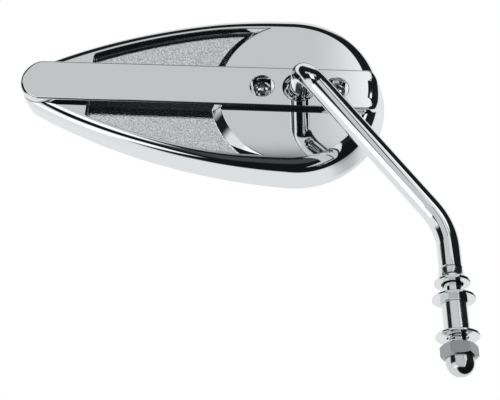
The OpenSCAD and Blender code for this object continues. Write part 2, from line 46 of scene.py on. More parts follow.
for leftOver in ("Cube", "Light", "Camera"):  # what an empty Blender file starts with
    if leftOver in bpy.data.objects:
        bpy.data.objects.remove(bpy.data.objects[leftOver])

# The head's own axes, from its joints: X along the bar, Y across it, Z out of the chrome back
joints = {joint["name"]: joint for joint in frame["joints"]}
ballAt = Vector(joints["head_pan"]["pos_m"])
headX = Vector(joints["head_tilt"]["axis"]).normalized()
headY = Vector(joints["head_pan"]["axis"]).normalized()
headZ = headX.cross(headY)


# Turns an sRGB hex colour to the linear one that shaders take
def hexColour(text):
    channels = np.array([int(text[i:i + 2], 16) for i in (1, 3, 5)]) / 255
    linear = np.where(channels <= 0.04045, channels / 12.92, ((channels + 0.055) / 1.055) ** 2.4)
    return (*linear.tolist(), 1.0)


# Adds a node: links maps an input to a number, a colour or another node's output
def addNode(tree, kind, links=None, **settings):
    node = tree.nodes.new(kind)
    for name, value in settings.items():
        setattr(node, name, value)
    for socket, value in (links or {}).items():
        if isinstance(value, bpy.types.NodeSocket):
            tree.links.new(value, node.inputs[socket])
        else:
            node.inputs[socket].default_value = value
    return node


def newMaterial(name, colour, metallic, roughness):
    material = bpy.data.materials.new(name)
    material.use_nodes = True
    tree = material.node_tree
    shader = tree.nodes["Principled BSDF"]
    shader.inputs["Base Color"].default_value = hexColour(colour)
    shader.inputs["Metallic"].default_value = metallic
    shader.inputs["Roughness"].default_value = roughness
    return material, tree, shader


# Gives a node its material, in every slot it has
def dress(nodeName, material):
    slots = nodes[nodeName].data.materials
    for i in range(len(slots)):
        slots[i] = material
    if not len(slots):
        slots.append(material)


# Noise that turns the normal a little: size in mm from crest to crest, height in mm
def addWaves(tree, coordinates, size, height, before=None, detail=1.0):
    noise = addNode(tree, "ShaderNodeTexNoise",
                    {"Vector": coordinates, "Scale": 1 / (size * mm), "Detail": detail})
    links = {"Height": noise.outputs["Fac"], "Distance": height * mm}
    if before is not None:
        links["Normal"] = before
    return addNode(tree, "ShaderNodeBump", links).outputs["Normal"], noise.outputs["Fac"]


# Bright nickel-chrome plate over a polished base: the eye gets a mirror with a faint long-wave
# unevenness and a haze that comes and goes where the mop has worked it
chromeLook = {
    "colour": "#DFE2E3",
    "roughness": 0.03,
    "haze": 0.035,      # what the mop's haze adds to the roughness at most
    "hazeSize": 9.0,    # mm
    "hazeRange": (0.35, 0.75),  # part of the noise over which the haze comes up
    "waveSize": 14.0,   # mm
    "waveHeight": 0.012,  # mm
}


def chromePlate(name, look=chromeLook, **changes):
    look = {**look, **changes}
    material, tree, shader = newMaterial(name, look["colour"], 1.0, look["roughness"])
    place = addNode(tree, "ShaderNodeTexCoord").outputs["Object"]
    normal = addWaves(tree, place, look["waveSize"], look["waveHeight"])[0]
    haze = addNode(tree, "ShaderNodeTexNoise",
                   {"Vector": place, "Scale": 1 / (look["hazeSize"] * mm), "Detail": 3.0})
    rough = addNode(tree, "ShaderNodeMapRange",
                    {"Value": haze.outputs["Fac"], "From Min": look["hazeRange"][0],
                     "From Max": look["hazeRange"][1], "To Min": look["roughness"],
                     "To Max": look["roughness"] + look["haze"]})
    tree.links.new(rough.outputs["Result"], shader.inputs["Roughness"])
    tree.links.new(normal, shader.inputs["Normal"])
    return material, tree, shader, place, normal, rough.outputs["Result"]


# Distance from the ball's centre along one of the head's axes, in metres, as a node output
def headDistance(tree, place, axis):
    fromBall = addNode(tree, "ShaderNodeVectorMath", {0: place, 1: ballAt}, operation="SUBTRACT")
    return addNode(tree, "ShaderNodeVectorMath", {0: fromBall.outputs[0], 1: axis},
                   operation="DOT_PRODUCT").outputs["Value"]


print("chrome")
polished = chromePlate("chromePlatePolished")[0]
rodChrome = chromePlate("chromePlateDrawnRod", waveSize=22.0, waveHeight=0.008)[0]

# Die-cast shell: the same plate, but the pocket floors were cast with a grit of about a millimetre,
# which breaks the reflection into sparkling grains. Besides the grit's bump, their base colour has
# painted glints and painted dark reflections of single grains.
castLook = {
    "floorLevel": -2.0,   # mm, the pocket floors' height over the ball's centre
    "floorBand": 0.5,     # mm, how far above that the grain still reaches
    "facing": (0.8, 0.95),  # how squarely a face looks out of the head's back to have grain
    "glintRange": (0.36, 0.64),  # part of the noise from the dark grains to the light ones
    "gritSize": 0.7,      # mm
    "gritHeight": 0.045,  # mm
    "gritRoughness": 0.1,
    # painted glints and painted dark reflections: the base colours of the floors' light and dark
    # grains
    "gritPaintedDark": "#B9BCBD",
    "gritPaintedGlint": "#F4F6F6",
    "floorLean": 0.0075,  # how far the floors' shading is leaned towards the head's upper side
    "floorTurn": -0.9,    # what each metre across adds to that, so that both floors catch the panel
}


def castShell():
    material, tree, shader, place, normal, rough = chromePlate("chromePlateDieCast")
    level = headDistance(tree, place, headZ)
    facing = addNode(tree, "ShaderNodeVectorMath",
                     {0: addNode(tree, "ShaderNodeTexCoord").outputs["Normal"], 1: headZ},
                     operation="DOT_PRODUCT").outputs["Value"]
    low = addNode(tree, "ShaderNodeMapRange",
                  {"Value": level,
                   "From Min": (castLook["floorLevel"] + castLook["floorBand"]) * mm,
                   "From Max": (castLook["floorLevel"] + castLook["floorBand"] / 2) * mm})
    up = addNode(tree, "ShaderNodeMapRange", {"Value": facing, "From Min": castLook["facing"][0],
                                              "From Max": castLook["facing"][1]})
    grain = addNode(tree, "ShaderNodeMath", {0: low.outputs[0], 1: up.outputs[0]},
                    operation="MULTIPLY")
    grit = addNode(tree, "ShaderNodeTexNoise",
                   {"Vector": place, "Scale": 1 / (castLook["gritSize"] * mm), "Detail": 2.0})
    glint = addNode(tree, "ShaderNodeMapRange",
                    {"Value": grit.outputs["Fac"], "From Min": castLook["glintRange"][0],
                     "From Max": castLook["glintRange"][1]})
    # painted glints and painted dark reflections of single grains, mixed into the pocket floors'
    # base colour
    grains = addNode(tree, "ShaderNodeMix",
                     {"Factor": glint.outputs[0], 6: hexColour(castLook["gritPaintedDark"]),
                      7: hexColour(castLook["gritPaintedGlint"])}, data_type="RGBA")
    colour = addNode(tree, "ShaderNodeMix",
                     {"Factor": grain.outputs[0], 6: hexColour(chromeLook["colour"]),
                      7: grains.outputs[2]}, data_type="RGBA")
    tree.links.new(colour.outputs[2], shader.inputs["Base Color"])
    masked = addNode(tree, "ShaderNodeMath", {0: grit.outputs["Fac"], 1: grain.outputs[0]},
                     operation="MULTIPLY")
    across = headDistance(tree, place, headY)
    amount = addNode(tree, "ShaderNodeMath", {0: across, 1: castLook["floorTurn"],
                                              2: castLook["floorLean"]}, operation="MULTIPLY_ADD")
    inGrain = addNode(tree, "ShaderNodeMath", {0: amount.outputs[0], 1: grain.outputs[0]},
                      operation="MULTIPLY")
    lean = addNode(tree, "ShaderNodeVectorMath", {0: headY, "Scale": inGrain.outputs[0]},
                   operation="SCALE")
    leant = addNode(tree, "ShaderNodeVectorMath", {0: normal, 1: lean.outputs[0]}, operation="ADD")
    leant = addNode(tree, "ShaderNodeVectorMath", {0: leant.outputs[0]}, operation="NORMALIZE")
    bump = addNode(tree, "ShaderNodeBump", {"Height": masked.outputs[0], "Normal": leant.outputs[0],
                                            "Distance": castLook["gritHeight"] * mm})
    roughMix = addNode(tree, "ShaderNodeMix", {"Factor": grain.outputs[0], 2: rough,
                                               3: castLook["gritRoughness"]}, data_type="FLOAT")
    tree.links.new(bump.outputs["Normal"], shader.inputs["Normal"])
    tree.links.new(roughMix.outputs[0], shader.inputs["Roughness"])
    return material


castMetal = castShell()

# Plate over turned steel: rings that the lathe left about the rod's lower end, which draw the
# highlights out a little across the washers and round the sleeve
turnedLook = {
    "roughness": 0.1,
    "haze": 0.08,
    "hazeSize": 3.0,      # mm
    "ringSize": 0.4,      # mm
    "ringHeight": 0.002,  # mm
}


def turnedPlate(name, **changes):
    look = {**turnedLook, **changes}
    material, tree, shader, place, normal, _ = chromePlate(
        name, roughness=look["roughness"], haze=look["haze"], hazeSize=look["hazeSize"])
    parts = addNode(tree, "ShaderNodeSeparateXYZ", {0: place}).outputs
    flat = addNode(tree, "ShaderNodeCombineXYZ", {"X": parts["X"], "Y": parts["Y"]}).outputs[0]
    radius = addNode(tree, "ShaderNodeVectorMath", {0: flat}, operation="LENGTH").outputs["Value"]
    alongProfile = addNode(tree, "ShaderNodeCombineXYZ", {"X": radius, "Z": parts["Z"]}).outputs[0]
    rings = addWaves(tree, alongProfile, look["ringSize"], look["ringHeight"], normal, 2.0)[0]
    tree.links.new(rings, shader.inputs["Normal"])
    return material, tree, shader, place, rings


# The nut's flats came straight off the hexagon bar: a dull plate with a coarse brushed grain along
# the bar, while its dome is polished. The dome begins where the hexagon's height ends.
nutLook = {
    "flat": "#9A9D9F",
    "dome": "#D3D5D5",
    "flatRoughness": 0.2,
    "domeRoughness": 0.12,
    "brushLength": 6.0,    # mm
    "brushWidth": 0.25,    # mm
    "brushHeight": 0.006,  # mm
    "domeStart": 5.6,      # mm under the nut's upper face
    "blend": 0.4,          # mm
}


def nutPlate():
    look = nutLook
    material, tree, shader, place, rings = turnedPlate("chromePlateHexBar")
    top = max(point[2] for point in nodes["acorn_nut"].bound_box)
    parts = addNode(tree, "ShaderNodeSeparateXYZ", {0: place}).outputs
    dome = addNode(tree, "ShaderNodeMapRange",
                   {"Value": parts["Z"], "From Min": top - look["domeStart"] * mm,
                    "From Max": top - (look["domeStart"] + look["blend"]) * mm}).outputs[0]
    fine, along = 1 / (look["brushWidth"] * mm), 1 / (look["brushLength"] * mm)
    brushed = addNode(tree, "ShaderNodeMapping", {"Vector": place, "Scale": (fine, fine, along)})
    lines = addNode(tree, "ShaderNodeTexNoise",
                    {"Vector": brushed.outputs[0], "Scale": 1.0, "Detail": 3.0})
    brush = addNode(tree, "ShaderNodeBump", {"Height": lines.outputs["Fac"], "Normal": rings,
                                             "Distance": look["brushHeight"] * mm})
    normal = addNode(tree, "ShaderNodeMix", {"Factor": dome, 4: brush.outputs["Normal"], 5: rings},
                     data_type="VECTOR")
    colour = addNode(tree, "ShaderNodeMix", {"Factor": dome, 6: hexColour(look["flat"]),
                                             7: hexColour(look["dome"])}, data_type="RGBA")
    roughness = addNode(tree, "ShaderNodeMix", {"Factor": dome, 2: look["flatRoughness"],
                                                3: look["domeRoughness"]}, data_type="FLOAT")
    tree.links.new(normal.outputs[1], shader.inputs["Normal"])
    tree.links.new(colour.outputs[2], shader.inputs["Base Color"])
    tree.links.new(roughness.outputs[0], shader.inputs["Roughness"])
    return material


# Zinc over hardened spring steel: a greyer, satin metal with a fine crystalline mottle
zincLook = {
    "dark": "#9FA4A8",
    "light": "#C3C7CA",
    "roughness": (0.22, 0.42),
    "mottle": 1.2,        # mm
    "grain": 0.3,         # mm
    "grainHeight": 0.01,  # mm
}


def zincPlate():
    look = zincLook
    material, tree, shader = newMaterial("zincPlateSpringSteel", look["light"], 1.0, 0.3)
    place = addNode(tree, "ShaderNodeTexCoord").outputs["Object"]
    noise = addNode(tree, "ShaderNodeTexNoise",
                    {"Vector": place, "Scale": 1 / (look["mottle"] * mm), "Detail": 3.0})
    mottle = noise.outputs["Fac"]
    colour = addNode(tree, "ShaderNodeMix", {"Factor": mottle, 6: hexColour(look["dark"]),
                                             7: hexColour(look["light"])}, data_type="RGBA")
    rough = addNode(tree, "ShaderNodeMapRange", {"Value": mottle, "To Min": look["roughness"][0],
                                                 "To Max": look["roughness"][1]})
    normal = addWaves(tree, place, look["grain"], look["grainHeight"], None, 3.0)[0]
    tree.links.new(colour.outputs[2], shader.inputs["Base Color"])
    tree.links.new(rough.outputs[0], shader.inputs["Roughness"])
    tree.links.new(normal, shader.inputs["Normal"])
    return material


# Moulded nylon: milky off-white with a soft sheen and the faint unevenness of a moulding
nylonLook = {"dark": "#DEDACB", "light": "#EFEDE3", "roughness": 0.38, "mottle": 2.5, "sink": 0.02}


def nylonMoulded():
    look = nylonLook
    material, tree, shader = newMaterial("nylonMoulded", look["light"], 0.0, look["roughness"])
    place = addNode(tree, "ShaderNodeTexCoord").outputs["Object"]
    normal, height = addWaves(tree, place, look["mottle"], look["sink"], None, 2.0)
    colour = addNode(tree, "ShaderNodeMix", {"Factor": height, 6: hexColour(look["dark"]),
                                             7: hexColour(look["light"])}, data_type="RGBA")
    tree.links.new(colour.outputs[2], shader.inputs["Base Color"])
    tree.links.new(normal, shader.inputs["Normal"])
    shader.inputs["IOR"].default_value = 1.53
    shader.inputs["Subsurface Weight"].default_value = 0.15
    shader.inputs["Subsurface Radius"].default_value = (0.002, 0.002, 0.0015)
    return material


# Die-cut foam: near black and dry, with open cells of about half a millimetre, whose hollows have
# painted shade, a darker colour than the skin
foamLook = {"poreShade": "#0E0E10", "skin": "#2A2A2D", "cell": 0.55, "depth": 0.15}


def foamCut():
    look = foamLook
    material, tree, shader = newMaterial("foamDieCut", look["skin"], 0.0, 0.92)
    place = addNode(tree, "ShaderNodeTexCoord").outputs["Object"]
    cells = addNode(tree, "ShaderNodeTexVoronoi",
                    {"Vector": place, "Scale": 1 / (look["cell"] * mm)})
    # painted shade: the sunken middles of the cells get the darker colour
    colour = addNode(tree, "ShaderNodeMix",
                     {"Factor": cells.outputs["Distance"], 6: hexColour(look["poreShade"]),
                      7: hexColour(look["skin"])}, data_type="RGBA")
    bump = addNode(tree, "ShaderNodeBump", {"Height": cells.outputs["Distance"],
                                            "Distance": look["depth"] * mm})
    tree.links.new(colour.outputs[2], shader.inputs["Base Color"])
    tree.links.new(bump.outputs["Normal"], shader.inputs["Normal"])
    return material


# Silvered glass: its outer face is a clear mirror, slightly green and cooler than the chrome. The
# edge was ground to a pale, matt band and the back has a grey protective paint.
glassLook = {
    "mirror": "#D4DBDA",
    "ground": "#B5C8BF",
    "paint": "#4A4D50",
    "mirrorRoughness": (0.004, 0.02),
    "groundRoughness": 0.5,
    "wipe": 30.0,           # mm, size of the faint haze that wiping leaves
    "groundGrain": 0.3,     # mm
    "groundHeight": 0.015,  # mm
}


def silveredGlass():
    look = glassLook
    material, tree, shader = newMaterial("silveredGlass", look["mirror"], 1.0,
                                         look["mirrorRoughness"][0])
    coordinates = addNode(tree, "ShaderNodeTexCoord").outputs
    outward = addNode(tree, "ShaderNodeVectorMath", {0: coordinates["Normal"], 1: -headZ},
                      operation="DOT_PRODUCT").outputs["Value"]
    mirror = addNode(tree, "ShaderNodeMapRange", {"Value": outward, "From Min": 0.85,
                                                  "From Max": 0.93}).outputs[0]
    paint = addNode(tree, "ShaderNodeMapRange", {"Value": outward, "From Min": -0.7,
                                                 "From Max": -0.85}).outputs[0]
    matt = addNode(tree, "ShaderNodeMix", {"Factor": paint, 6: hexColour(look["ground"]),
                                           7: hexColour(look["paint"])}, data_type="RGBA")
    colour = addNode(tree, "ShaderNodeMix",
                     {"Factor": mirror, 6: matt.outputs[2], 7: hexColour(look["mirror"])},
                     data_type="RGBA").outputs[2]
    haze = addNode(tree, "ShaderNodeTexNoise", {"Vector": coordinates["Object"],
                                                "Scale": 1 / (look["wipe"] * mm), "Detail": 4.0})
    clear = addNode(tree, "ShaderNodeMapRange", {"Value": haze.outputs["Fac"], "From Min": 0.4,
                                                 "To Min": look["mirrorRoughness"][0],
                                                 "To Max": look["mirrorRoughness"][1]}).outputs[0]
    rough = addNode(tree, "ShaderNodeMix", {"Factor": mirror, 2: look["groundRoughness"], 3: clear},
                    data_type="FLOAT").outputs[0]
    grain = addNode(tree, "ShaderNodeTexNoise",
                    {"Vector": coordinates["Object"], "Scale": 1 / (look["groundGrain"] * mm),
                     "Detail": 3.0})
    mattOnly = addNode(tree, "ShaderNodeMath", {0: 1.0, 1: mirror}, operation="SUBTRACT").outputs[0]
    height = addNode(tree, "ShaderNodeMath", {0: grain.outputs["Fac"], 1: mattOnly},
                     operation="MULTIPLY")
    bump = addNode(tree, "ShaderNodeBump", {"Height": height.outputs[0],
                                            "Distance": look["groundHeight"] * mm})
    tree.links.new(colour, shader.inputs["Base Color"])
    tree.links.new(mirror, shader.inputs["Metallic"])
    tree.links.new(rough, shader.inputs["Roughness"])
    tree.links.new(bump.outputs["Normal"], shader.inputs["Normal"])
    return material


mirrorMaterial = silveredGlass()
washerChrome = turnedPlate("chromePlateTurnedSteel")[0]
screwChrome = turnedPlate("chromePlateHeadedScrew", roughness=0.12, haze=0.1)[0]
springZinc = zincPlate()
for names, material in (
    (("stem",), rodChrome),
    (("cone_washer", "upper_washer", "lock_washer", "lower_washer", "spacer_sleeve"), washerChrome),
    (("clamp_screw_left", "clamp_screw_right"), screwChrome),
    (("acorn_nut",), nutPlate()),
    (("seat_spring", "tip_screw"), springZinc),
    (("ball_seat",), nylonMoulded()),
    (("backing_pad",), foamCut()),
):
    for name in names:
        dress(name, material)
print("materials made")


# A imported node's points along the head's own axes, in mm about the ball's centre
def headPoints(nodeName):
    mesh = nodes[nodeName].data
    points = np.empty(len(mesh.vertices) * 3)
    mesh.vertices.foreach_get("co", points)
    axes = np.array([headX, headY, headZ])
    return (points.reshape(-1, 3) - np.array(ballAt)) @ axes.T / mm


barPoints = headPoints("clamp_bar")
barLow, barHigh = barPoints.min(axis=0), barPoints.max(axis=0)

# Sizes that the head's pieces share, in mm about the ball's centre. Lengths and levels come from
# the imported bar, the radii are the casting's own.
headSize = {
    "tipX": barLow[0],
    "roundX": barHigh[0],
    "faceZ": barHigh[2],
    "floorZ": barLow[2],
    "landZ": barHigh[2] - 3.0,
    "roundRadius": 42.0,
    "flankStart": 1.0,      # degrees past the widest place
    "tipWidth": 25.2,       # across the tip's two corners
    "tipRadius": 11.5,
    "flankEdge": 5.0,       # edge rounding along the flanks
    "roundEdge": 6.5,       # edge rounding at the round end
    "edgeGrow": (-45.0, 50.0),  # where the edge rounding starts to grow, and over what length
    "flare": 3.5,           # how far the wall leans out at the round end
    "backZ": barHigh[2] - 19.7,
    "tipBackZ": barHigh[2] - 16.1,
}
backTilt = math.asin((headSize["tipBackZ"] - headSize["backZ"])
                     / (headSize["roundX"] - headSize["tipX"]))


# Points of an arc about (cx, cy), each with the angle of its outward normal
def arcPoints(cx, cy, radius, start, end, count):
    angle = np.radians(np.linspace(start, end, count))
    return np.stack([cx + radius * np.cos(angle), cy + radius * np.sin(angle), angle], axis=1)


# Closes an upper half outline with its mirror image below the X axis
def mirrored(upper):
    lower = upper[::-1] * [1, -1, -1]
    return np.concatenate([upper, lower[np.abs(lower[:, 1]) > 1e-6]])


def smoothStep(t):
    t = np.clip(t, 0, 1)
    return t * t * (3 - 2 * t)


roundCentre = headSize["roundX"] - headSize["roundRadius"]
tipCentreX = headSize["tipX"] + headSize["tipRadius"]
tipCentreY = headSize["tipWidth"] / 2 - headSize["tipRadius"]


# Arc that leaves the round end at its start and touches the tip corner's arc. With w the way from
# the round centre to the tip corner's, u the start's direction and s the difference of their two
# radii, it is larger than the round end by (w.w - s s) / (2 (w.u + s)).
def flankArc():
    start = math.radians(headSize["flankStart"])
    direction = np.array([math.sin(start), -math.cos(start)])
    way = np.array([tipCentreX - roundCentre, tipCentreY])
    step = headSize["roundRadius"] - headSize["tipRadius"]
    larger = (way @ way - step ** 2) / (2 * (way @ direction + step))
    return np.array([roundCentre, 0.0]) + larger * direction, headSize["roundRadius"] + larger


flankCentre, flankRadius = flankArc()
tipAngle = math.degrees(math.atan2(tipCentreY - flankCentre[1], tipCentreX - flankCentre[0]))
headOutline = mirrored(np.concatenate([
    arcPoints(roundCentre, 0, headSize["roundRadius"], 0, 90 + headSize["flankStart"], 92),
    arcPoints(*flankCentre, flankRadius, 90 + headSize["flankStart"], tipAngle, 90)[1:],
    arcPoints(tipCentreX, tipCentreY, headSize["tipRadius"], tipAngle, 180, 32)[1:],
]))
headEdge = headSize["flankEdge"] + (headSize["roundEdge"] - headSize["flankEdge"]) * smoothStep(
    (headOutline[:, 0] - headSize["edgeGrow"][0]) / headSize["edgeGrow"][1])
headFlare = headSize["flare"] * ((headOutline[:, 0] - headSize["tipX"])
                                 / (headSize["roundX"] - headSize["tipX"])) ** 2


# An outline moved inwards along its normals, at a level: x = px - d cos a, y = py - d sin a
def ringAt(outline, inward, level):
    x = outline[:, 0] - inward * np.cos(outline[:, 2])
    y = outline[:, 1] - inward * np.sin(outline[:, 2])
    return np.stack([x, y, np.broadcast_to(level, x.shape)], axis=1)


# The same on the plane of the back edge, which comes nearer to the face towards the tip
def backRing(outline, inward, rise):
    ring = ringAt(outline, inward, 0.0)
    ring[:, 2] = headSize["backZ"] + (headSize["roundX"] - ring[:, 0]) * math.tan(backTilt) + rise
    return ring


# A mesh from head coordinates in mm, with its faces turned outwards
def headMesh(name, points, faces):
    points = np.asarray(points, float)
    first = [(face[0], face[k], face[k + 1]) for face in faces if len(face) > 4
             for k in range(1, len(face) - 1)]
    quads = np.array([face for face in faces if len(face) == 4]).reshape(-1, 4)
    corners = np.concatenate([np.array(first).reshape(-1, 3), quads[:, :3],
                              quads[:, [0, 2, 3]]]).astype(int)
    a, b, c = (points[corners[:, k]] for k in range(3))
    if np.einsum("ij,ij->", a, np.cross(b, c)) < 0:
        faces = [face[::-1] for face in faces]
    placed = np.array(ballAt) + points @ np.array([headX, headY, headZ]) * mm
    mesh = bpy.data.meshes.new(name)
    mesh.from_pydata(placed.tolist(), [], faces)
    piece = bpy.data.objects.new(name, mesh)
    bpy.context.scene.collection.objects.link(piece)
    return piece


# Surface through a stack of closed rings: u runs round the ring and v from ring to ring
def loftPiece(name, rings):
    count, around = len(rings), len(rings[0])
    u, v = np.meshgrid(np.arange(around), np.arange(count - 1))
    after = (u + 1) % around
    quads = np.stack([v * around + u, v * around + after, (v + 1) * around + after,
                      (v + 1) * around + u], axis=-1).reshape(-1, 4)
    ends = [list(range(around - 1, -1, -1)), list(range((count - 1) * around, count * around))]
    return headMesh(name, np.concatenate(rings), quads.tolist() + ends)


# Surface of revolution about the head's Z axis through (x, 0): a profile of (radius, level) pairs
def turnedPiece(name, x, profile, around=96):
    angle = np.linspace(0, 2 * np.pi, around, endpoint=False)
    rings = [np.stack([x + r * np.cos(angle), r * np.sin(angle), np.full(around, z)], axis=1)
             for r, z in profile]
    return loftPiece(name, rings)


# Applies one solid to another and removes the second
def carve(piece, tool, operation="DIFFERENCE"):
    cut = piece.modifiers.new("carve", "BOOLEAN")
    cut.operation = operation
    cut.solver = "EXACT"
    cut.object = tool
    graph = bpy.context.evaluated_depsgraph_get()
    made = bpy.data.meshes.new_from_object(piece.evaluated_get(graph))
    piece.modifiers.clear()
    before = piece.data
    piece.data = made
    made.name = piece.name
    bpy.data.meshes.remove(before)
    bpy.data.objects.remove(tool)


# Smooth everywhere but at edges sharper than the angle, with flat faces kept flat
def shadeRound(piece, angle):
    piece.data.shade_smooth()
    piece.data.set_sharp_from_angle(angle=math.radians(angle))
    even = piece.modifiers.new("evenNormals", "WEIGHTED_NORMAL")
    even.keep_sharp = True


# A rounded corner of a profile, from one direction to another in degrees:
# (r, z) = centre + radius (cos a, sin a)
def corner(centre, radius, start, end, steps=6):
    angle = np.radians(np.linspace(start, end, steps))
    return list(zip(centre[0] + radius * np.cos(angle), centre[1] + radius * np.sin(angle)))


sharpAngle = 26  # degrees between faces, from which an edge of the head is drawn sharp


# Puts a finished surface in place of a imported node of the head
def finishPiece(piece, nodeName, material):
    shadeRound(piece, sharpAngle)
    piece.data.materials.clear()
    piece.data.materials.append(material)
    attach(piece, "head")
    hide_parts(nodeName)


# The clamp bar: a flat face, a fine edge along the sides, a wide round at the round end and a
# small one at the tip. The ball's mouth and the screws' counterbores open in its face. Sizes in mm.
barSize = {
    "half": barHigh[1],
    "tipRadius": 10.2,
    "cornerRadius": 6.0,    # of the outline's two corners at the round end
    "edge": 0.8,            # edge rounding along the sides
    "roundEdge": 6.0,       # edge rounding at the round end
    "tipEdge": 2.0,         # edge rounding at the tip
    "edgeSteps": 14,
    "ballRadius": 7.05,     # the seat's, a little larger than the ball
    "lipLevel": barHigh[2] - 1.8,
    "mouthFlare": 1.45,     # how much wider the mouth's cone is at the face than at its lip
    "mouthRound": 0.25,     # what the rounding at the face adds to that
    "recessRadius": 8.7,    # of the round room for the nylon cup
    "screwAt": 17.4,        # from the ball to each clamp screw
    "boreRadius": 5.65,
    "boreDown": 3.6,
    "boreLip": 0.35,        # edge rounding of the counterbores
    "shankRadius": 2.2,
    "tipScrewIn": 21.0,     # from the tip's end to the tip screw
    "tipHoleRadius": 1.55,
    "tipHoleUp": 4.4,
    "over": 0.3,            # how far the cutting tools stand over the face
}


def barOutline():
    s = barSize
    centreX = roundCentre + math.sqrt((headSize["roundRadius"] - s["cornerRadius"]) ** 2
                                      - (s["half"] - s["cornerRadius"]) ** 2)
    angle = math.degrees(math.atan2(s["half"] - s["cornerRadius"], centreX - roundCentre))
    upper = np.concatenate([
        arcPoints(roundCentre, 0, headSize["roundRadius"], 0, angle, 9),
        arcPoints(centreX, s["half"] - s["cornerRadius"], s["cornerRadius"], angle, 90, 36)[1:],
        arcPoints(headSize["tipX"] + s["tipRadius"], s["half"] - s["tipRadius"], s["tipRadius"],
                  90, 180, 46),
    ])
    return mirrored(upper), angle


barLine, barCornerAngle = barOutline()


def makeBar():
    s = barSize
    turn = np.degrees(np.abs(barLine[:, 2]))
    nearRound = smoothStep((90 - turn) / (90 - barCornerAngle))
    atRound = s["edge"] + (s["roundEdge"] - s["edge"]) * nearRound
    atTip = s["edge"] + (s["tipEdge"] - s["edge"]) * smoothStep((turn - 90) / 60)
    radius = np.where(barLine[:, 0] > 0, atRound, atTip)
    rings = [ringAt(barLine, 0.0, headSize["floorZ"])]
    for a in np.radians(np.linspace(90, 0, s["edgeSteps"])):
        rings.append(ringAt(barLine, radius * (1 - np.sin(a)),
                            headSize["faceZ"] - radius * (1 - np.cos(a))))
    bar = loftPiece("clampBar", rings)
    face, floor, lip = headSize["faceZ"], headSize["floorZ"], s["lipLevel"]
    lipRadius = math.sqrt(s["ballRadius"] ** 2 - lip ** 2)
    ballLevels = np.linspace(0, lip, 8)
    rise = np.linspace(0, 1, 9)[1:]
    recessLevels = np.linspace(floor - 0.5, 0, 5)
    mouth = list(zip(np.sqrt(s["recessRadius"] ** 2 - recessLevels ** 2), recessLevels))
    mouth += list(zip(np.sqrt(s["ballRadius"] ** 2 - ballLevels ** 2), ballLevels))
    mouth += list(zip(lipRadius + s["mouthFlare"] * rise + s["mouthRound"] * rise ** 6,
                      lip + (face - lip) * rise))
    mouth.append((mouth[-1][0] + 1.0, face + s["over"]))
    carve(bar, turnedPiece("mouth", 0, mouth))
    bore = [(s["shankRadius"], floor - 1), (s["shankRadius"], face - s["boreDown"]),
            (s["boreRadius"], face - s["boreDown"])]
    bore += corner((s["boreRadius"] + s["boreLip"], face - s["boreLip"]), s["boreLip"], 180, 100)
    bore.append((bore[-1][0] + 1.0, face + s["over"]))
    for side in (-1, 1):
        carve(bar, turnedPiece("bore", side * s["screwAt"], bore))
    tipHole = [(s["tipHoleRadius"], floor - 1), (s["tipHoleRadius"], floor + s["tipHoleUp"])]
    carve(bar, turnedPiece("tipHole", headSize["tipX"] + s["tipScrewIn"], tipHole, 32))
    finishPiece(bar, "clamp_bar", polished)
    return bar


# The die-cast shell: a wall that flares towards the round end, a rounded rim with a narrow land,
# a raised disc round the ball and a pocket on each side of the bar. Sizes in mm.
shellSize = {
    "backEdge": 0.8,        # edge rounding round the glass
    "bezel": 1.7,           # width of the rim round the glass
    "ledgeUp": 4.9,         # from the back edge to the ledge that carries the pad
    "ledgeShare": 0.5,      # share of the wall's flare that is left at the ledge
    "rimSteps": 18,
    "land": 1.0,            # width of the flat strip between the rim and the pockets
    "pocketStart": 33.2,    # from the tip's end to the pockets
    "pocketCorner": 1.6,
    "pocketEnd": -8.0,      # lies under the disc
    "floorFillet": 0.8,
    "lip": 0.3,             # edge rounding of the pockets
    "discRadius": 38.0,
    "discSlope": 4.0,       # how much wider the disc's cone is at its foot
    "discFoot": 1.0,        # rounding at the cone's foot
    "discLip": 0.8,         # rounding at the disc's edge
    "channelGap": 0.15,     # play beside the bar
    "channelDown": 0.05,    # play under it
    "wall": 3.4,
    "plate": 2.5,
    "socketRadius": 9.35,
    "bosses": ((0.0, 12.5, -10.65), (-17.4, 4.6, -10.2), (17.4, 4.6, -10.2)),
    "tappedRadius": 2.05,
    "tappedEnd": -9.4,
    "tipHoleRadius": 1.7,
}


def wallShare(rise):
    return 1 - (1 - shellSize["ledgeShare"]) * rise / shellSize["ledgeUp"]


